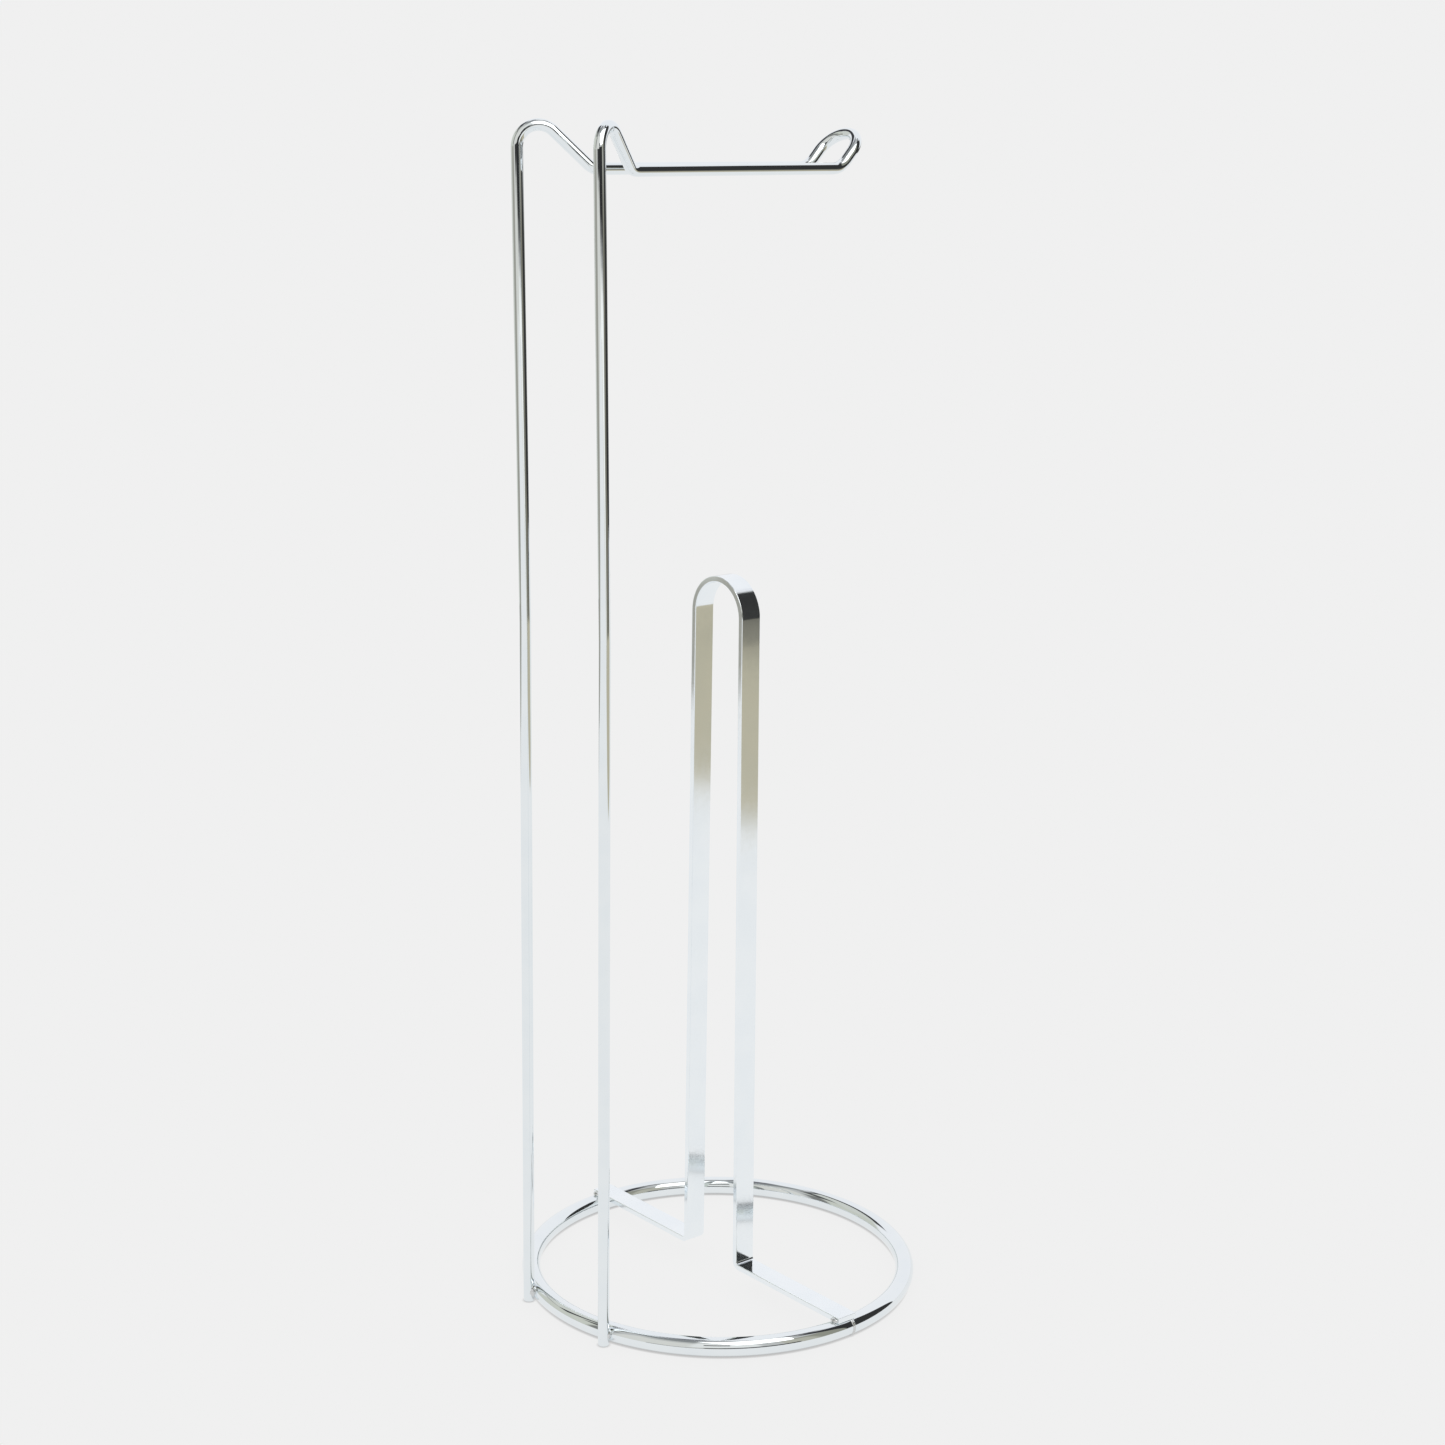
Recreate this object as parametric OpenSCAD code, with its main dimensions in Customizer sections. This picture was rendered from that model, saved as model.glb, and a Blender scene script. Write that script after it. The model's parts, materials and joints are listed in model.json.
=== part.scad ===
// Free-standing toilet roll stand in chrome-plated steel.
// A bent round-wire hanger carries the roll in use, a bent flat strip carries the
// spare rolls, and both are welded to a round-wire base ring.
// The arm runs along +X, +Z is up, and the origin is the ring's centre on the floor.

/* [Base ring] */
// Diameter of the ring, measured on the centreline of its wire
ring_d = 166; // [150:1:190]
// Diameter of the ring wire
ring_wire_d = 8; // [6:0.5:10]
// Direction of the ring's butt seam, in degrees from the arm's direction
seam_angle = -88; // [-92:1:-84]

/* [Roll hanger] */
// Diameter of the hanger wire
hanger_wire_d = 4.8; // [4:0.2:6]
// Spacing of the two uprights, centre to centre
upright_spacing = 53.5; // [46:0.5:70]
// Depth to which each upright is pressed into the ring's side at its weld
weld_depth = 1.2; // [0.6:0.1:1.8]
// Height of the arm's centreline above the floor
arm_height = 480.5; // [400:0.5:540]
// Rise of the hump's centreline above the arm's centreline
hump_rise = 17; // [12:0.5:26]
// Distance that the uprights lean back at the top
lean_back = 3; // [1:0.5:6]
// Height at which the uprights start to lean back
lean_start = 300; // [150:10:350]
// Distance from the ring's centre back to the dip behind the arm
dip_back = 60.5; // [52:0.5:64]
// Spacing of the two arm wires at the dip
arm_spacing_dip = 25; // [22:0.5:32]
// Spacing of the two arm wires at the tip
arm_spacing_tip = 20.4; // [18:0.2:22]
// Distance from the ring's centre forward to the tip's upward bend
tip_reach = 50; // [40:1:70]
// Slope of the upturned tip, in degrees
tip_slope = 47; // [30:1:60]
// Length of the upturned tip, from its lower bend to the end of its loop
tip_length = 19; // [17:0.5:24]

/* [Spare roll post] */
// Width of the strip
strip_w = 9.8; // [8:0.2:12]
// Thickness of the strip
strip_t = 2.4; // [1.8:0.1:3]
// Height of the post's top above the floor
post_height = 314; // [220:1:340]
// Spacing of the post's legs just under the arch, centre to centre
leg_spacing_top = 30.6; // [26:0.2:32]
// Spacing of the post's legs at the base, centre to centre
leg_spacing_base = 34.2; // [33:0.2:38]
// Distance that each end of the strip reaches beyond the centreline of the ring wire
strip_overhang = 2.5; // [1:0.5:3.5]

/* [Hidden] */
$fn = 48;
steel = [0.84, 0.85, 0.86];
weld_steel = [0.72, 0.73, 0.74];

ring_r = ring_d / 2;
ring_wire_r = ring_wire_d / 2;
wire_r = hanger_wire_d / 2;

// The uprights stand against the outside of the ring.
upright_y = upright_spacing / 2;
upright_radius = ring_r + ring_wire_r + wire_r - weld_depth;
upright_x = -sqrt(upright_radius * upright_radius - upright_y * upright_y);
top_x = upright_x - lean_back;

// Bend radii of the hanger's centreline
hump_bend_r = 8.5;
dip_bend_r = 6;
tip_bend_r = 5;

// The hump's two sides, drawn on to a corner, meet above its crown. How far above depends on
// how steeply the wire falls, so the height is settled by repeating the sum.
hump_run = norm([top_x + dip_back, upright_y - arm_spacing_dip / 2]);
function corner_rise(fall) = hump_bend_r * (tan((90 + atan2(fall, hump_run)) / 2) - 1);
function settled(rise, tries) = tries == 0 ? rise : settled(corner_rise(hump_rise + rise), tries - 1);
hump_corner = settled(0, 20);
hump_z = arm_height + hump_rise + hump_corner;

// One side of the hanger's centreline, from its foot to the start of the loop at the tip
tip_y = arm_spacing_tip / 2;
leg_length = tip_length - tip_y;
loop_centre = [tip_reach + leg_length * cos(tip_slope), 0, arm_height + leg_length * sin(tip_slope)];
hanger_side = [
    [upright_x, upright_y, 0],
    [upright_x, upright_y, lean_start],
    [top_x, upright_y, hump_z],
    [-dip_back, arm_spacing_dip / 2, arm_height],
    [tip_reach, tip_y, arm_height],
    loop_centre + [0, tip_y, 0]];
hanger_bends = [0, 0, hump_bend_r, dip_bend_r, tip_bend_r, 0];

// Straights stop just short of the bends, and a knuckle hardly larger than the wire joins them.
knuckle_r = wire_r + 0.02;
knuckle_gap = 0.04;

// The strip lies on top of the ring, pressed into it slightly, and turns up into the legs.
strip_press = 0.2;
strip_bottom = ring_wire_d - strip_press;
strip_z = strip_bottom + strip_t / 2;
strip_end = ring_r + strip_overhang;
foot_bend_r = 2.4;
arch_r = leg_spacing_top / 2;
arch_z = post_height - strip_t / 2 - arch_r;
leg_base_y = leg_spacing_base / 2;
leg_tilt = atan2(leg_base_y, arch_z - strip_z) - asin(arch_r / norm([leg_base_y, arch_z - strip_z]));
foot_centre = [leg_base_y + foot_bend_r * tan(45 - leg_tilt / 2), strip_z + foot_bend_r];

// Weld beads: the hanger's sit a little above the ring's centreline, and the ring's seam is a
// low collar, proud of the wire by a fraction of a millimetre and about 1 degree long.
hanger_bead_r = 3.6;
hanger_bead_rise = 0.6;
post_bead_r = 2.1;
seam_proud = 0.25;
seam_angle_width = 1.1;

function unit(v) = v / norm(v);

// Angle through which the path turns at point i
function turn(path, i) = acos(unit(path[i] - path[i - 1]) * unit(path[i + 1] - path[i]));

// Length of straight that the bend at point i takes from each side of it
function setback(path, bends, i) = bends[i] > 0 ? bends[i] * tan(turn(path, i) / 2) : 0;

// Points along an arc between two angles, about every 5 degrees
function arc(centre, r, from, to) =
    let (steps = ceil(abs(to - from) / 5))
    [for (k = [0 : steps]) centre + r * [cos(from + (to - from) * k / steps),
                                         sin(from + (to - from) * k / steps)]];

// One face of the strip, from the arch's crown to the end of the run, at a distance from its centreline
function strip_face(shift) = concat(
    arc([0, arch_z], arch_r + shift, 90, leg_tilt),
    arc(foot_centre, foot_bend_r - shift, 180 + leg_tilt, 270),
    [[strip_end, strip_z + shift]]);

function reversed(list) = [for (i = [len(list) - 1 : -1 : 0]) list[i]];

module knuckle(p) {
    translate(p) sphere(r = knuckle_r);
}

module straight(a, b) {
    along = unit(b - a);
    translate(a) rotate([0, acos(along[2]), atan2(along[1], along[0])])
        cylinder(r = wire_r, h = norm(b - a));
}

// A bend of radius r at the corner between two directions
module bend(corner, into, out, r) {
    angle = acos(into * out);
    start = corner - into * r * tan(angle / 2);
    centre = corner + unit(out - into) * r / cos(angle / 2);
    x = unit(start - centre);
    z = cross(x, into);
    multmatrix([
        [x[0], into[0], z[0], centre[0]],
        [x[1], into[1], z[1], centre[1]],
        [x[2], into[2], z[2], centre[2]],
        [0, 0, 0, 1]])
        rotate_extrude(angle = angle) translate([r, 0]) circle(r = wire_r);
}

// Round wire along a path of corner points, each rounded by its bend radius
module bent_wire(path, bends) {
    for (i = [1 : len(path) - 1]) {
        along = unit(path[i] - path[i - 1]);
        start = path[i - 1] + along * setback(path, bends, i - 1);
        end = path[i] - along * setback(path, bends, i);
        straight(start + along * (i > 1 ? knuckle_gap : 0), end - along * knuckle_gap);
        knuckle(end);
        if (bends[i - 1] > 0)
            knuckle(start);
    }
    for (i = [1 : len(path) - 2])
        if (bends[i] > 0)
            bend(path[i], unit(path[i] - path[i - 1]), unit(path[i + 1] - path[i]), bends[i]);
}

module ring_wire(r) {
    translate([0, 0, ring_wire_r]) rotate_extrude($fn = 180) translate([ring_r, 0]) circle(r = r);
}

// The lowest stretch of an upright, long enough to pass the ring and the weld
module upright_foot(side) {
    translate([upright_x, side * upright_y, 0]) cylinder(r = wire_r, h = 2 * ring_wire_d);
}

module strip_run(side) {
    translate([-strip_w / 2, side > 0 ? ring_r / 2 : -strip_end, strip_bottom])
        cube([strip_w, strip_end - ring_r / 2, strip_t]);
}

module base_ring() {
    color(steel) difference() {
        ring_wire(ring_wire_r);
        for (side = [-1, 1]) {
            upright_foot(side);
            strip_run(side);
        }
    }
}

module ring_seam_weld() {
    color(weld_steel) difference() {
        translate([0, 0, ring_wire_r]) rotate([0, 0, seam_angle - seam_angle_width / 2])
            rotate_extrude(angle = seam_angle_width) translate([ring_r, 0]) difference() {
                circle(r = ring_wire_r + seam_proud);
                circle(r = ring_wire_r);
            }
        strip_run(-1);
        translate([-ring_d, -ring_d, -ring_wire_d]) cube([2 * ring_d, 2 * ring_d, ring_wire_d]);
    }
}

module roll_hanger() {
    color(steel) {
        for (side = [0, 1]) mirror([0, side, 0])
            bent_wire(hanger_side, hanger_bends);
        translate(loop_centre) rotate([0, -tip_slope, 0]) rotate([0, 0, -90])
            rotate_extrude(angle = 180) translate([tip_y, 0]) circle(r = wire_r);
    }
}

module hanger_weld(side) {
    contact = (ring_r + ring_wire_r - weld_depth / 2) / upright_radius;
    color(weld_steel) difference() {
        translate([contact * upright_x, contact * side * upright_y, ring_wire_r + hanger_bead_rise])
            sphere(r = hanger_bead_r, $fn = 96);
        ring_wire(ring_wire_r);
        upright_foot(side);
    }
}

module hanger_weld_left() {
    hanger_weld(1);
}

module hanger_weld_right() {
    hanger_weld(-1);
}

module spare_roll_post() {
    half = concat(strip_face(strip_t / 2), reversed(strip_face(-strip_t / 2)));
    other_half = [for (i = [len(half) - 2 : -1 : 1]) [-half[i][0], half[i][1]]];
    color(steel) rotate([90, 0, 90])
        linear_extrude(height = strip_w, center = true) polygon(concat(half, other_half));
}

module post_weld(side) {
    color(weld_steel) difference() {
        for (edge = [-1, 1]) translate([edge * strip_w / 2, side * ring_r, ring_wire_d - strip_press])
            sphere(r = post_bead_r);
        ring_wire(ring_wire_r);
        strip_run(side);
    }
}

module post_weld_left() {
    post_weld(1);
}

module post_weld_right() {
    post_weld(-1);
}

base_ring();
ring_seam_weld();
roll_hanger();
hanger_weld_left();
hanger_weld_right();
spare_roll_post();
post_weld_left();
post_weld_right();
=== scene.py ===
import json
from math import acos, asin, atan2, cos, exp, hypot, pi, radians, sin, tan

import bmesh
import bpy
from mathutils import Matrix, Vector, noise


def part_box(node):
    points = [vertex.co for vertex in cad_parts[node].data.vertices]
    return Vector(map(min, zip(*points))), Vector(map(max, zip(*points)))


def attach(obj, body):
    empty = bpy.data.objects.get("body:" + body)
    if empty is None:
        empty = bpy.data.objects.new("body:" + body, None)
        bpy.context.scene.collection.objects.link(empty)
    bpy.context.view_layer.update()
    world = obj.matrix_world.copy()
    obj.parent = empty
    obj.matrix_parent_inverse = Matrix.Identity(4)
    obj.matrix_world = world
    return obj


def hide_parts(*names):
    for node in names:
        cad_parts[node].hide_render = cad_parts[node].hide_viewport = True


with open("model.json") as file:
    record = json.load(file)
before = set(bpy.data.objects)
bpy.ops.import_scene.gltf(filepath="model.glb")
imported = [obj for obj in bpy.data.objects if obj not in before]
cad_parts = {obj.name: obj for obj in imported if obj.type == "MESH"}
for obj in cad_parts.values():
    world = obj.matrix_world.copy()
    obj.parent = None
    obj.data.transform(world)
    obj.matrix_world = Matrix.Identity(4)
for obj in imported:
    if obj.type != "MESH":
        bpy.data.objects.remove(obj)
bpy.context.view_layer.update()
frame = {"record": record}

# ---------------------------------------------------------------- sizes, in metres
# Sizes that the frame holds are read from it. The others repeat the CAD model's.
MOUNTS = {m["name"]: Vector(m["pos_m"]) for m in frame["record"]["mounts"]}
POST_LOW, POST_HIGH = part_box("spare_roll_post")

RING_R = 0.083
RING_WIRE_R = 0.004

WIRE_R = 0.0024
UPRIGHT_X = MOUNTS["foot_left"].x
UPRIGHT_Y = MOUNTS["foot_left"].y
LEAN_START = 0.300
LEAN_BACK = 0.003
UPRIGHT_TOP_X = UPRIGHT_X - LEAN_BACK
ARM_HEIGHT = MOUNTS["roll_arm"].z - WIRE_R
HUMP_RISE = 0.017
HUMP_CROWN = ARM_HEIGHT + HUMP_RISE
HUMP_BEND_R = 0.0085
DIP_BACK = 0.0605
DIP_Y = 0.0125
DIP_BEND_R = 0.006
TIP_REACH = 0.050
TIP_Y = 0.0102
TIP_BEND_R = 0.010
TIP_SLOPE = radians(47)
TIP_LENGTH = 0.019

STRIP_W = POST_HIGH.x - POST_LOW.x
STRIP_T = 0.0024
STRIP_END = POST_HIGH.y
STRIP_Z = POST_LOW.z + STRIP_T / 2
LEG_TOP_Y = 0.0153
LEG_BASE_Y = 0.0171
ARCH_Z = POST_HIGH.z - STRIP_T / 2 - LEG_TOP_Y
FOOT_BEND_R = 0.0024
STRIP_EDGE_R = 0.0003

SEAM_ANGLE = radians(-88)
SEAM_HALF_ANGLE = radians(0.55)
SEAM_PROUD = 0.00024


# ---------------------------------------------------------------- paths
def rounded(corners, bends, turn_step=radians(4), straight_step=0.012):
    """Points along straights between corners, each corner rounded by its own bend radius."""
    corners = [Vector(c) for c in corners]
    points = [corners[0]]
    for i in range(1, len(corners)):
        into = (corners[i] - corners[i - 1]).normalized()
        bend = None
        if i < len(corners) - 1 and bends[i]:
            out = (corners[i + 1] - corners[i]).normalized()
            angle = acos(max(-1, min(1, into.dot(out))))
            setback = bends[i] * tan(angle / 2)
            bend = (corners[i] - into * setback, angle)
        end = bend[0] if bend else corners[i]
        start = points[-1]
        pieces = max(1, round((end - start).length / straight_step))
        points += [start.lerp(end, k / pieces) for k in range(1, pieces + 1)]
        if bend:
            across = (out - into * into.dot(out)).normalized()
            steps = max(2, round(angle / turn_step))
            for k in range(1, steps + 1):
                t = angle * k / steps
                points.append(bend[0] + bends[i] * (sin(t) * into + (1 - cos(t)) * across))
    return points


def frames_along(points, closed=False, first_side=None):
    """Each point with its direction and a sideways vector that doesn't twist about the path."""
    count = len(points)
    result = []
    side = first_side
    for i, p in enumerate(points):
        before = points[i - 1] if i or closed else p
        after = points[(i + 1) % count] if i < count - 1 or closed else p
        along = (after - before).normalized()
        if side is None:
            side = along.orthogonal()
        side = (side - along * side.dot(along)).normalized()
        result.append((p, along, side))
    return result


# ---------------------------------------------------------------- meshes
def new_piece(name, vertices, faces, material, replaced):
    """A smooth-shaded piece that rides on the stand's only body and stands for a CAD node."""
    mesh = bpy.data.meshes.new(name)
    mesh.from_pydata([tuple(v) for v in vertices], [], faces)
    mesh.validate()
    mesh.shade_smooth()
    piece = bpy.data.objects.new(name, mesh)
    bpy.context.scene.collection.objects.link(piece)
    piece.data.materials.append(material)
    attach(piece, "root")
    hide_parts(replaced)
    return piece


def sweep(frames, section, closed=False, end_round=0.0, end_steps=5):
    """Vertices and faces of a section swept along frames.

    section(inset) gives the section's points as (sideways, upwards) pairs, drawn in by inset.
    An open sweep ends in flat faces whose edges are rounded by end_round."""
    rings = [(p, along, side, 0.0) for p, along, side in frames]
    if not closed:
        first, last = frames[0], frames[-1]
        starts, ends = [], []
        for k in range(1, end_steps + 1):
            t = pi / 2 * k / end_steps
            push, inset = end_round * sin(t), end_round * (1 - cos(t))
            starts.insert(0, (first[0] - first[1] * (push - end_round), first[1], first[2], inset))
            ends.append((last[0] + last[1] * (push - end_round), last[1], last[2], inset))
        rings[0] = (first[0] + first[1] * end_round, first[1], first[2], 0.0)
        rings[-1] = (last[0] - last[1] * end_round, last[1], last[2], 0.0)
        rings = starts + rings + ends
    vertices, faces = [], []
    for p, along, side, inset in rings:
        up = along.cross(side)
        vertices += [p + side * a + up * b for a, b in section(inset)]
    size = len(section(0.0))
    count = len(rings)
    for i in range(count if closed else count - 1):
        here, there = i * size, (i + 1) % count * size
        for j in range(size):
            k = (j + 1) % size
            faces.append((here + j, here + k, there + k, there + j))
    if not closed:
        faces.append(tuple(reversed(range(size))))
        faces.append(tuple(range((count - 1) * size, count * size)))
    return vertices, faces


def round_section(radius, sides):
    """A circle of that radius."""
    def section(inset):
        r = radius - inset
        return [(r * cos(2 * pi * k / sides), r * sin(2 * pi * k / sides)) for k in range(sides)]
    return section


def strip_section(width, thickness, edge_r, corner_steps=5):
    """A rectangle with rounded corners; the flats have extra points beside the corners."""
    def section(inset):
        a, b, r = width / 2 - inset, thickness / 2 - inset, max(edge_r - inset, 0.00004)
        points = []
        for quarter, (sa, sb) in enumerate(((1, 1), (-1, 1), (-1, -1), (1, -1))):
            for k in range(corner_steps + 1):
                t = pi / 2 * (quarter + k / corner_steps)
                points.append((sa * (a - r) + r * cos(t), sb * (b - r) + r * sin(t)))
            if quarter % 2 == 0:
                points.append((sa * (a - 1.6 * r), sb * b))
                points.append((-sa * (a - 1.6 * r), sb * b))
            else:
                points.append((sa * a, sb * (b - 1.3 * r)))
                points.append((sa * a, -sb * (b - 1.3 * r)))
        return points
    return section


# ---------------------------------------------------------------- the pieces
def hump_corner_height():
    """Where the two sides of a hump, drawn straight on, meet above its crown."""
    run = hypot(UPRIGHT_TOP_X + DIP_BACK, UPRIGHT_Y - DIP_Y)
    height = HUMP_CROWN
    for _ in range(20):
        fall = atan2(height - ARM_HEIGHT, run)
        height = HUMP_CROWN - HUMP_BEND_R + HUMP_BEND_R * tan((pi / 2 + fall) / 2)
    return height


def hanger_path():
    """The hanger's centreline, from the left foot round the loop to the right foot."""
    leg = TIP_LENGTH - TIP_Y
    slope = Vector((cos(TIP_SLOPE), 0, sin(TIP_SLOPE)))
    loop_centre = Vector((TIP_REACH, 0, ARM_HEIGHT)) + slope * leg
    corners = [
        (UPRIGHT_X, UPRIGHT_Y, 0),
        (UPRIGHT_X, UPRIGHT_Y, LEAN_START),
        (UPRIGHT_TOP_X, UPRIGHT_Y, hump_corner_height()),
        (-DIP_BACK, DIP_Y, ARM_HEIGHT),
        (TIP_REACH, TIP_Y, ARM_HEIGHT),
        loop_centre + Vector((0, TIP_Y, 0))]
    side = rounded(corners, [0, 0, HUMP_BEND_R, DIP_BEND_R, TIP_BEND_R, 0])
    steps = 36
    loop = [loop_centre + Vector((0, TIP_Y * cos(pi * k / steps), 0)) + slope * TIP_Y * sin(pi * k / steps)
            for k in range(1, steps)]
    other = [Vector((p.x, -p.y, p.z)) for p in reversed(side)]
    return side + loop + other


def post_path():
    """The strip's centreline, from its end at -Y over the arch to its end at +Y."""
    rise = ARCH_Z - STRIP_Z
    tilt = atan2(LEG_BASE_Y, rise) - asin(LEG_TOP_Y / hypot(LEG_BASE_Y, rise))
    foot = (LEG_BASE_Y, STRIP_Z)
    steps = 40
    arch = [Vector((0, LEG_TOP_Y * cos(t), ARCH_Z + LEG_TOP_Y * sin(t)))
            for t in (tilt + (pi - 2 * tilt) * k / steps for k in range(steps + 1))]
    half = rounded([arch[0], (0, foot[0], foot[1]), (0, STRIP_END, STRIP_Z)], [0, FOOT_BEND_R, 0])
    other = [Vector((p.x, -p.y, p.z)) for p in reversed(half)]
    return other + arch[::-1][1:-1] + half


def make_ring(material):
    steps = 240
    points = [Vector((RING_R * cos(2 * pi * k / steps), RING_R * sin(2 * pi * k / steps), RING_WIRE_R))
              for k in range(steps)]
    frames = frames_along(points, closed=True, first_side=Vector((0, 0, 1)))
    vertices, faces = sweep(frames, round_section(RING_WIRE_R, 48), closed=True)
    return new_piece("base_ring_wire", vertices, faces, material, "base_ring")


def make_hanger(material):
    frames = frames_along(hanger_path(), first_side=Vector((0, 1, 0)))
    vertices, faces = sweep(frames, round_section(WIRE_R, 40), end_round=0.0003)
    return new_piece("roll_hanger_wire", vertices, faces, material, "roll_hanger")


def make_post(material):
    frames = frames_along(post_path(), first_side=Vector((1, 0, 0)))
    vertices, faces = sweep(frames, strip_section(STRIP_W, STRIP_T, STRIP_EDGE_R), end_round=0.00012)
    return new_piece("spare_roll_strip", vertices, faces, material, "spare_roll_post")


def lump(shape, centre, radii, seed):
    """Adds a closed, uneven bead of weld metal to a bmesh."""
    made = bmesh.ops.create_icosphere(shape, subdivisions=4, radius=1.0)
    for vertex in made["verts"]:
        out = vertex.co.copy()
        uneven = 0.10 * noise.noise(out * 1.7 + Vector((seed, 0, 0))) + 0.03 * noise.noise(out * 5.0)
        reach = 0.90 + uneven
        vertex.co = centre + Vector((out.x * radii.x, out.y * radii.y, out.z * radii.z)) * reach


def make_bead(name, node, lumps, material):
    """Weld beads that stand for one CAD node, each as (centre, radii, seed)."""
    shape = bmesh.new()
    for centre, radii, seed in lumps:
        lump(shape, centre, radii, seed)
    mesh = bpy.data.meshes.new(name)
    shape.to_mesh(mesh)
    shape.free()
    mesh.shade_smooth()
    piece = bpy.data.objects.new(name, mesh)
    bpy.context.scene.collection.objects.link(piece)
    mesh.materials.append(material)
    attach(piece, "root")
    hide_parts(node)


def make_hanger_welds(material):
    """A tall fillet of weld metal between each upright and the ring."""
    for seed, side in ((3, "left"), (11, "right")):
        low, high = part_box("hanger_weld_" + side)
        centre = (low + high) / 2
        radii = Vector((0.0031, 0.0031, (high.z - low.z) / 2))
        make_bead("hanger_bead_" + side, "hanger_weld_" + side, [(centre, radii, seed)], material)


def make_post_welds(material):
    """A small nugget of weld metal under each long edge of the strip, where it crosses the ring."""
    for seed, side in ((5, "left"), (17, "right")):
        low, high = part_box("post_weld_" + side)
        middle = (low + high) / 2
        radii = Vector((0.0017, 0.0021, (high.z - low.z) / 2))
        lumps = [(Vector((x, middle.y, middle.z)), radii, seed + x) for x in (-STRIP_W / 2, STRIP_W / 2)]
        make_bead("post_beads_" + side, "post_weld_" + side, lumps, material)


def make_seam(material):
    """The low collar left by the ring's butt weld, tapering into the wire on both sides."""
    steps, sides = 12, 64
    vertices, faces = [], []
    for i in range(steps + 1):
        s = 2 * i / steps - 1
        angle = SEAM_ANGLE + s * SEAM_HALF_ANGLE
        out = Vector((cos(angle), sin(angle), 0))
        ridge = SEAM_PROUD * ((1 - s * s) ** 0.5 - 0.5 * exp(-(s / 0.2) ** 2))
        for k in range(sides):
            turn = 2 * pi * k / sides
            uneven = 1 + 0.25 * noise.noise(Vector((3 * s, 2 * cos(turn), 2 * sin(turn))))
            r = RING_WIRE_R + max(0.0, ridge * uneven) - 0.00001
            p = out * (RING_R + r * cos(turn)) + Vector((0, 0, RING_WIRE_R + r * sin(turn)))
            p.z = max(p.z, 0)
            vertices.append(p)
    for i in range(steps):
        for k in range(sides):
            n = (k + 1) % sides
            faces.append((i * sides + k, i * sides + n, (i + 1) * sides + n, (i + 1) * sides + k))
    faces.append(tuple(reversed(range(sides))))
    faces.append(tuple(range(steps * sides, (steps + 1) * sides)))
    new_piece("ring_seam", vertices, faces, material, "ring_seam_weld")


# ---------------------------------------------------------------- materials
def add(tree, kind, links=(), **settings):
    """A shader node, with properties or inputs set by name and its inputs linked."""
    node = tree.nodes.new("ShaderNode" + kind)
    for name, value in settings.items():
        if hasattr(node, name):
            setattr(node, name, value)
        else:
            node.inputs[name.replace("_", " ").title()].default_value = value
    for name, source in dict(links).items():
        tree.links.new(source, node.inputs[name])
    return node


def mapped(tree, value, low, high, to_low, to_high, smooth=False):
    node = add(tree, "MapRange", {"Value": value}, From_Min=low, From_Max=high)
    node.inputs["To Min"].default_value = to_low
    node.inputs["To Max"].default_value = to_high
    if smooth:
        node.interpolation_type = "SMOOTHSTEP"
    return node.outputs[0]


def blended(tree, factor, low, high):
    """A mix of two colours; either may be a socket."""
    node = add(tree, "Mix", data_type="RGBA")
    sockets = {x.name: x for x in node.inputs if x.enabled}
    tree.links.new(factor, sockets["Factor"])
    for name, color in (("A", low), ("B", high)):
        if isinstance(color, tuple):
            sockets[name].default_value = (*color, 1)
        else:
            tree.links.new(color, sockets[name])
    return [x for x in node.outputs if x.enabled][0]


def metal(name, tints, roughness, grain, grain_depth, wave_depth):
    """Chrome plate: tint and gloss vary slowly, over a fine grain and a long, low waviness.

    grain gives the grain's frequency along X, Y and Z, per metre."""
    material = bpy.data.materials.new(name)
    material.use_nodes = True
    tree = material.node_tree
    shader = tree.nodes["Principled BSDF"]
    shader.inputs["Metallic"].default_value = 1.0
    place = add(tree, "TexCoord").outputs["Object"]
    stretch = add(tree, "VectorMath", {0: place}, operation="MULTIPLY")
    stretch.inputs[1].default_value = grain
    fine = add(tree, "TexNoise", {"Vector": stretch.outputs[0]}, Scale=1.0, Detail=3.0).outputs[0]
    slow = add(tree, "TexNoise", {"Vector": place}, Scale=70.0, Detail=2.0).outputs[0]
    patches = add(tree, "TexNoise", {"Vector": place}, Scale=420.0, Detail=5.0).outputs[0]
    tint = blended(tree, mapped(tree, slow, 0.35, 0.65, 0, 1, True), *tints)
    tree.links.new(tint, shader.inputs["Base Color"])
    gloss = add(tree, "Math", {0: mapped(tree, patches, 0.3, 0.7, -0.5, 0.5),
                               1: mapped(tree, fine, 0.3, 0.7, -0.5, 0.5)}, operation="ADD")
    tree.links.new(mapped(tree, gloss.outputs[0], -1, 1, *roughness), shader.inputs["Roughness"])
    waves = add(tree, "Bump", {"Height": slow}, Strength=1.0, Distance=wave_depth)
    grains = add(tree, "Bump", {"Height": fine, "Normal": waves.outputs[0]}, Strength=1.0,
                 Distance=grain_depth)
    tree.links.new(grains.outputs[0], shader.inputs["Normal"])
    return material


wire_metal = metal("chrome_wire", ((0.84, 0.885, 0.91), (0.86, 0.90, 0.92)), (0.01, 0.04),
                   (1500, 1500, 1500), 0.0000003, 0.000012)
strip_metal = metal("chrome_strip", ((0.89, 0.935, 0.965), (0.91, 0.95, 0.975)), (0.07, 0.13),
                    (5200, 130, 130), 0.0000012, 0.00001)
weld_metal = metal("chrome_weld", ((0.66, 0.67, 0.67), (0.82, 0.84, 0.85)), (0.08, 0.26),
                   (2600, 2600, 2600), 0.00003, 0.00004)
make_ring(wire_metal)
make_hanger(wire_metal)
make_post(strip_metal)
make_hanger_welds(weld_metal)
make_post_welds(weld_metal)
make_seam(weld_metal)

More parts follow.
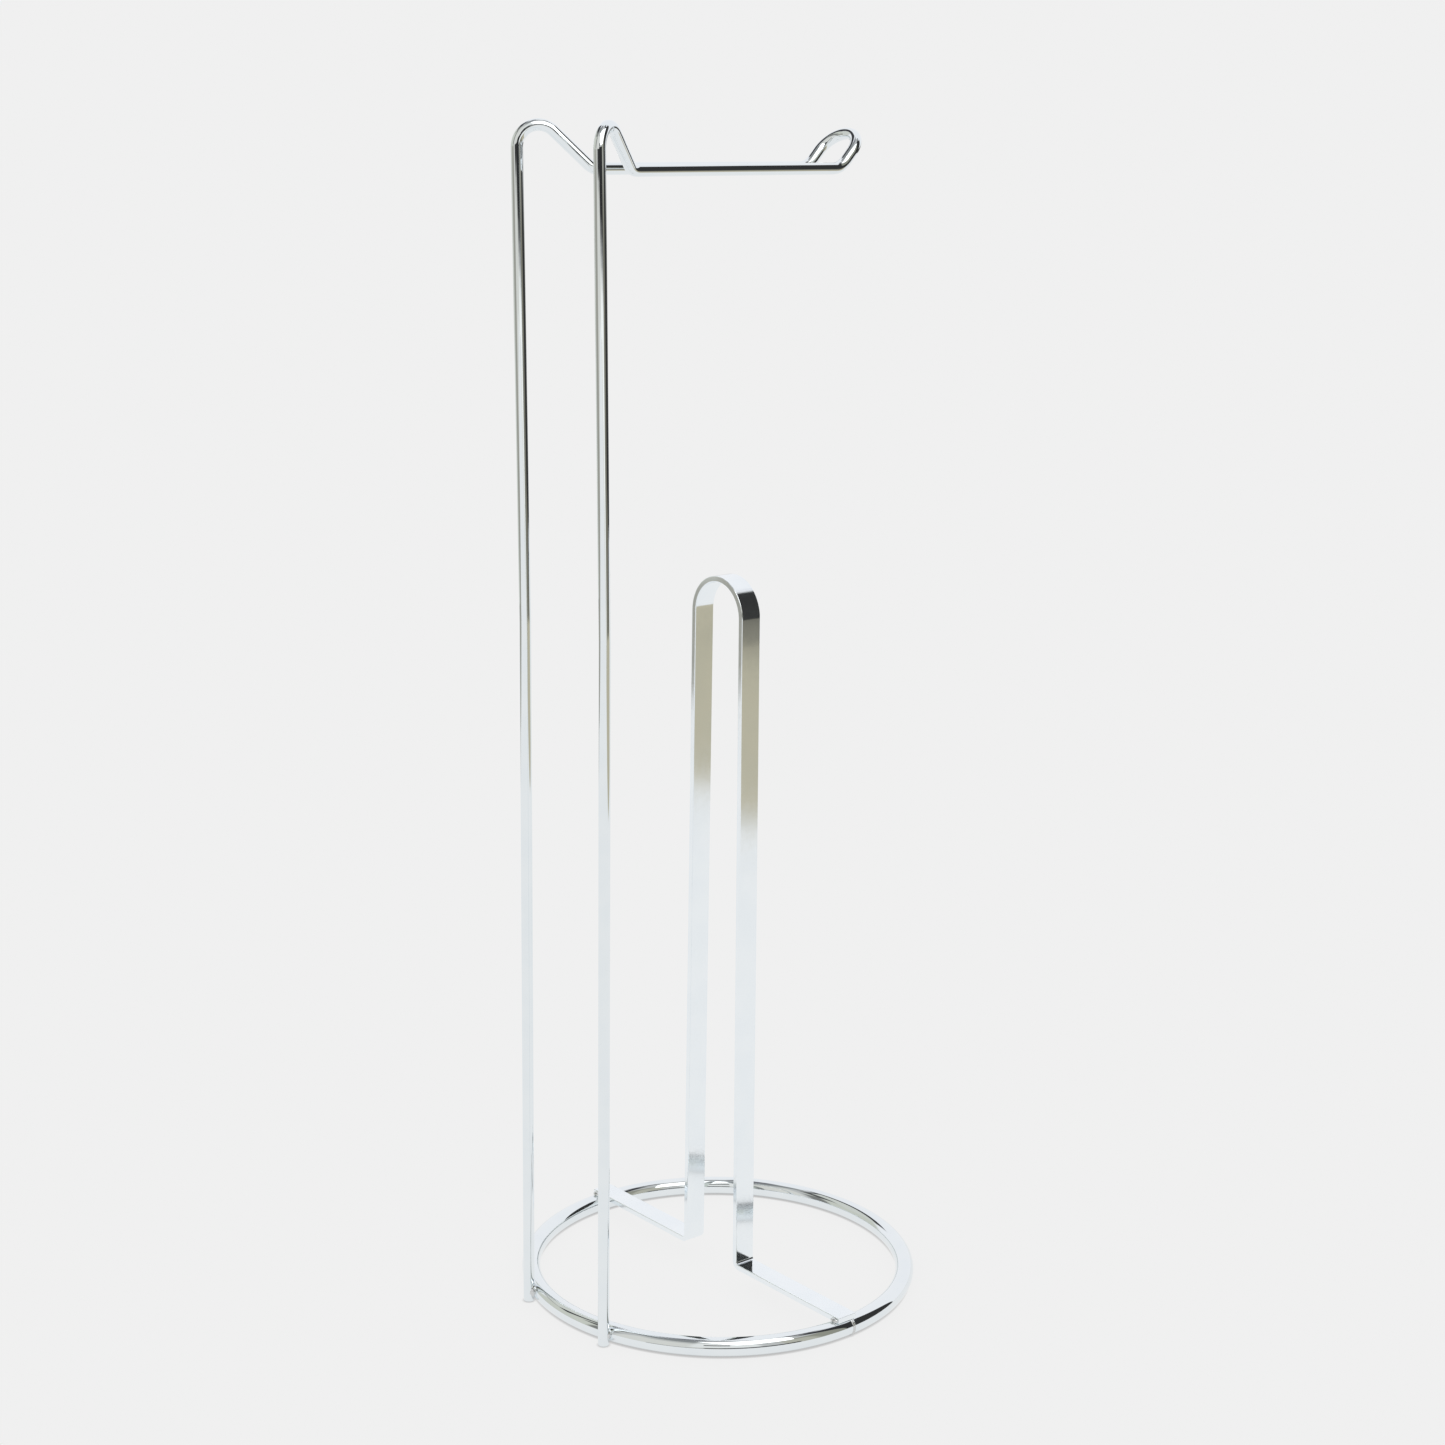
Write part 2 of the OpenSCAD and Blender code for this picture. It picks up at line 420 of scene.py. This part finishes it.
# ---------------------------------------------------------------- floor, light and camera
CAMERA_YAW = radians(39.81)
CAMERA_PITCH = radians(13.41)
CAMERA_ROLL = radians(0.703)
CAMERA_DISTANCE = 1.0771
CAMERA_SIDESTEP = -0.00087
CAMERA_HEIGHT = 0.5074
CAMERA_LENS = 65.05

AHEAD = Vector((sin(CAMERA_YAW), cos(CAMERA_YAW), 0))
RIGHT = Vector((cos(CAMERA_YAW), -sin(CAMERA_YAW), 0))
UP = Vector((0, 0, 1))

PAPER = (0.871, 0.871, 0.871)
BEYOND = (0.51, 0.47, 0.355)
CONTACT_SHADE = 0.45
CONTACT_REACH = 0.0011
SOFT_SHADE = 0.03
SOFT_REACH = 0.022
FLOOR_DROP = 0.0001
BACKDROP_HALF_SIZE = 12

# The softbox: its azimuth, then the distance out and the height of its near and far ends
KEY_AZIMUTH = 150
KEY_NEAR = (0.19, 0.90)
KEY_FAR = (0.76, 0.684)
KEY_WIDTH = 0.50
KEY_RADIANCE = 1.6


def direction(azimuth):
    """A level direction; azimuth 0 is ahead of the camera and 90 to its right."""
    return AHEAD * cos(radians(azimuth)) + RIGHT * sin(radians(azimuth))


def make_camera():
    """The camera looks along +Y turned towards +X by its yaw, and down by its pitch."""
    place = -AHEAD * CAMERA_DISTANCE + RIGHT * CAMERA_SIDESTEP + UP * CAMERA_HEIGHT
    forward = AHEAD * cos(CAMERA_PITCH) - UP * sin(CAMERA_PITCH)
    above = UP * cos(CAMERA_PITCH) + AHEAD * sin(CAMERA_PITCH)
    x = RIGHT * cos(CAMERA_ROLL) + above * sin(CAMERA_ROLL)
    y = above * cos(CAMERA_ROLL) - RIGHT * sin(CAMERA_ROLL)
    camera = bpy.data.objects.new("camera", bpy.data.cameras.new("camera"))
    camera.data.sensor_width = 36
    camera.data.lens = CAMERA_LENS
    camera.data.clip_end = 100
    camera.matrix_world = placed(x, y, -forward, place)
    bpy.context.scene.collection.objects.link(camera)
    bpy.context.scene.camera = camera


def placed(x, y, z, place):
    return Matrix((
        (x.x, y.x, z.x, place.x),
        (x.y, y.y, z.y, place.y),
        (x.z, y.z, z.z, place.z),
        (0, 0, 0, 1)))


def stage_mesh(name, corners, faces, material):
    """A flat card of the studio, which isn't part of the stand."""
    mesh = bpy.data.meshes.new(name)
    mesh.from_pydata([tuple(c) for c in corners], [], faces)
    mesh.materials.append(material)
    card = bpy.data.objects.new(name, mesh)
    bpy.context.scene.collection.objects.link(card)
    return card


def glowing(name):
    """A material that only glows: its tree and the glow."""
    material = bpy.data.materials.new(name)
    material.use_nodes = True
    tree = material.node_tree
    tree.nodes.clear()
    glow = add(tree, "Emission")
    add(tree, "OutputMaterial", {"Surface": glow.outputs[0]})
    return material, tree, glow


def glow_material(name, color):
    material, _, glow = glowing(name)
    glow.inputs["Color"].default_value = (*color, 1)
    return material


def dot(tree, value, along):
    node = add(tree, "VectorMath", {0: value}, operation="DOT_PRODUCT")
    node.inputs[1].default_value = along
    return node.outputs["Value"]


def times(tree, *values):
    """The product of two sockets, or of a socket and a number."""
    node = add(tree, "Math", operation="MULTIPLY")
    for i, value in enumerate(values):
        if isinstance(value, (int, float)):
            node.inputs[i].default_value = value
        else:
            tree.links.new(value, node.inputs[i])
    return node.outputs[0]


def floor_material():
    """A pale sheet that glows evenly, with painted shade: soft under the stand and darker where it
    touches.
    To the right it ends, and the tan ground beyond it begins, which only the chrome sees."""
    material, tree, glow = glowing("floor")
    place = add(tree, "NewGeometry").outputs["Position"]
    past_edge = mapped(tree, dot(tree, place, direction(93)), 0.76, 0.82, 0, 1, True)
    right_side = mapped(tree, dot(tree, place, AHEAD), 0.45, 0.25, 0, 1, True)
    seen = add(tree, "LightPath").outputs["Is Camera Ray"]
    unseen = mapped(tree, seen, 0, 1, 1, 0)
    sheet = blended(tree, times(tree, times(tree, past_edge, right_side), unseen), PAPER, BEYOND)
    shade = None
    # Painted shade: ambient occlusion darkens the floor's glow, softly under the stand and more strongly
    # where it touches
    for depth, reach in ((CONTACT_SHADE, CONTACT_REACH), (SOFT_SHADE, SOFT_REACH)):
        hidden = add(tree, "AmbientOcclusion", samples=6, Distance=reach)
        light = mapped(tree, hidden.outputs["AO"], 0, 1, 1 - depth, 1)
        shade = times(tree, shade, light) if shade else light
    tree.links.new(sheet, glow.inputs["Color"])
    tree.links.new(shade, glow.inputs["Strength"])
    return material


def make_floor():
    """The floor sheet, wide ahead of and behind the stand and narrower to each side."""
    outline = [(-1.9, -4), (0.80, -4), (0.85, -1.0), (1.05, -1.05), (1.37, -0.56), (1.48, 0.10),
               (2.0, 0.86), (1.6, 1.25), (1.4, 1.9), (1.4, 4), (-4, 4), (-0.72, 0.54), (-1.03, 0.42),
               (-1.19, 0.15), (-1.44, -0.20), (-1.60, -0.68), (-1.9, -1.4)]
    corners = [RIGHT * a + AHEAD * b - UP * FLOOR_DROP for a, b in outline]
    stage_mesh("floor", corners, [tuple(range(len(corners)))], floor_material())


def make_backdrop():
    """A plain surround in the floor's own tone, which only the camera sees."""
    size = BACKDROP_HALF_SIZE
    corners = [(x, y, z) for x in (-size, size) for y in (-size, size) for z in (-size, size)]
    faces = [(0, 1, 3, 2), (4, 6, 7, 5), (0, 4, 5, 1), (2, 3, 7, 6), (0, 2, 6, 4), (1, 5, 7, 3)]
    box = stage_mesh("backdrop", corners, faces, glow_material("backdrop", PAPER))
    for kind in ("diffuse", "glossy", "transmission", "volume_scatter", "shadow"):
        setattr(box, "visible_" + kind, False)


# The studio as the stand sees it: patches of light and dark, each with its name, the middle of its azimuth
# (0 is ahead of the camera, 90 to its right), half its width, its lowest and highest elevation,
# the softness of its edges, all in degrees, and its colour. Later patches cover earlier ones.
STUDIO = [
    ("left room", -83, 60, -95, 2, 4, (0.36, 0.35, 0.31)),
    ("left rear", -152, 30, -95, 62, 5, (0.72, 0.71, 0.67)),
    ("left rear top", -150, 26, 49, 64, 5, (0.54, 0.54, 0.52)),
    ("left ahead", -48, 18, -8.5, 6, 3, (0.68, 0.68, 0.64)),
    ("ahead", 4, 64, 0, 80, 5, (0.92, 0.92, 0.94)),
    ("left panel", -84, 26, 0, 52, 8, (0.62, 0.63, 0.56)),
    ("left panel far edge", -111, 7, 4, 38, 5, (0.22, 0.22, 0.21)),
    ("left panel corner", -97, 9, 36, 58, 6, (0.10, 0.10, 0.10)),
    ("left panel top", -80, 12, 50, 60, 5, (0.04, 0.04, 0.05)),
    ("above left panel", -58, 22, 28, 62, 4, (0.05, 0.05, 0.055)),
    ("upper left", -115, 45, 62, 84, 6, (0.27, 0.28, 0.28)),
    ("left of zenith", -50, 40, 73, 84, 6, (0.14, 0.14, 0.16)),
    ("right gap", 68, 26, -95, -1.5, 3, (0.045, 0.043, 0.038)),
    ("right gap near", 35, 8, -95, -2, 3, (0.19, 0.19, 0.17)),
    ("right rear gap", 114, 22, -95, -1, 4, (0.22, 0.21, 0.17)),
    ("olive", 116, 14, -1, 48, 5, (0.30, 0.30, 0.25)),
    ("olive far", 132, 10, -1, 40, 6, (0.48, 0.47, 0.40)),
    ("dark wall", 84.5, 19.5, -8.5, 46.5, 1, (0.035, 0.035, 0.035)),
    ("dark wall top", 91, 13, 45, 64, 4, (0.04, 0.04, 0.045)),
    ("dark by zenith", 70, 13, 62, 73, 5, (0.10, 0.10, 0.11)),
    ("streak", 68, 9, 47.5, 58, 3, (0.85, 0.85, 0.88)),
    ("rear right card", 160, 24, -95, -4.5, 2, (1.00, 1.00, 0.97)),
    ("rear dark left", -160, 19, -2.8, 3, 2, (0.05, 0.05, 0.05)),
    ("rear", 175, 20, 12, 60, 5, (0.84, 0.84, 0.82)),
    ("rear dark", 160, 27, -4, 9, 2, (0.03, 0.03, 0.03)),
    ("zenith", 0, 181, 84, 95, 4, (0.34, 0.34, 0.35)),
]
STUDIO_BASE = (0.55, 0.55, 0.54)


def make_world():
    world = bpy.data.worlds.new("studio")
    bpy.context.scene.world = world
    world.use_nodes = True
    tree = world.node_tree
    tree.nodes.clear()
    ray = add(tree, "TexCoord").outputs["Generated"]
    height = dot(tree, ray, UP)
    elevation = times(tree, add(tree, "Math", {0: height}, operation="ARCSINE").outputs[0], 180 / pi)
    flat = add(tree, "VectorMath", {0: ray}, operation="MULTIPLY")
    flat.inputs[1].default_value = (1, 1, 0)
    level = add(tree, "VectorMath", {0: flat.outputs[0]}, operation="NORMALIZE").outputs[0]
    color = STUDIO_BASE
    for _, azimuth, half, low, high, soft, tone in STUDIO:
        facing = dot(tree, level, direction(azimuth))
        apart = times(tree, add(tree, "Math", {0: facing}, operation="ARCCOSINE").outputs[0], 180 / pi)
        inside = mapped(tree, apart, half + soft / 2, half - soft / 2, 0, 1, True)
        above = mapped(tree, elevation, low - soft / 2, low + soft / 2, 0, 1, True)
        below = mapped(tree, elevation, high + soft / 2, high - soft / 2, 0, 1, True)
        color = blended(tree, times(tree, inside, times(tree, above, below)), color, tone)
    background = add(tree, "Background", {"Color": color})
    add(tree, "OutputWorld", {"Surface": background.outputs[0]})


def make_key_light():
    """A softbox behind the camera's right shoulder, leaning over the stand."""
    out = direction(KEY_AZIMUTH)
    near = out * KEY_NEAR[0] + UP * KEY_NEAR[1]
    far = out * KEY_FAR[0] + UP * KEY_FAR[1]
    length = (far - near).length
    y = (far - near).normalized()
    x = out.cross(UP)
    z = x.cross(y)
    light = bpy.data.lights.new("key", "AREA")
    light.shape = "RECTANGLE"
    light.size = KEY_WIDTH
    light.size_y = length
    light.energy = KEY_RADIANCE * pi * KEY_WIDTH * length
    lamp = bpy.data.objects.new("key", light)
    lamp.matrix_world = placed(x, y, z, (near + far) / 2)
    lamp.visible_camera = False
    bpy.context.scene.collection.objects.link(lamp)


def make_card(name, start, end, low, high, color):
    """An upright card between two places on the floor, seen only in the chrome."""
    corners = [start + UP * low, end + UP * low, end + UP * high, start + UP * high]
    card = stage_mesh(name, corners, [(0, 1, 2, 3)], glow_material(name, color))
    for kind in ("camera", "diffuse", "shadow"):
        setattr(card, "visible_" + kind, False)


make_camera()
make_floor()
make_backdrop()
make_world()
make_key_light()
make_card("photographer", -AHEAD * 1.15 - RIGHT * 0.155, -AHEAD * 1.15 + RIGHT * 0.155, 0.69, 0.95,
          (0.06, 0.06, 0.06))
make_card("left_reflector", direction(-42) * 0.46, direction(-80) * 0.46, 0.23, 0.77, (0.66, 0.67, 0.62))
bpy.context.scene.view_settings.view_transform = "Standard"
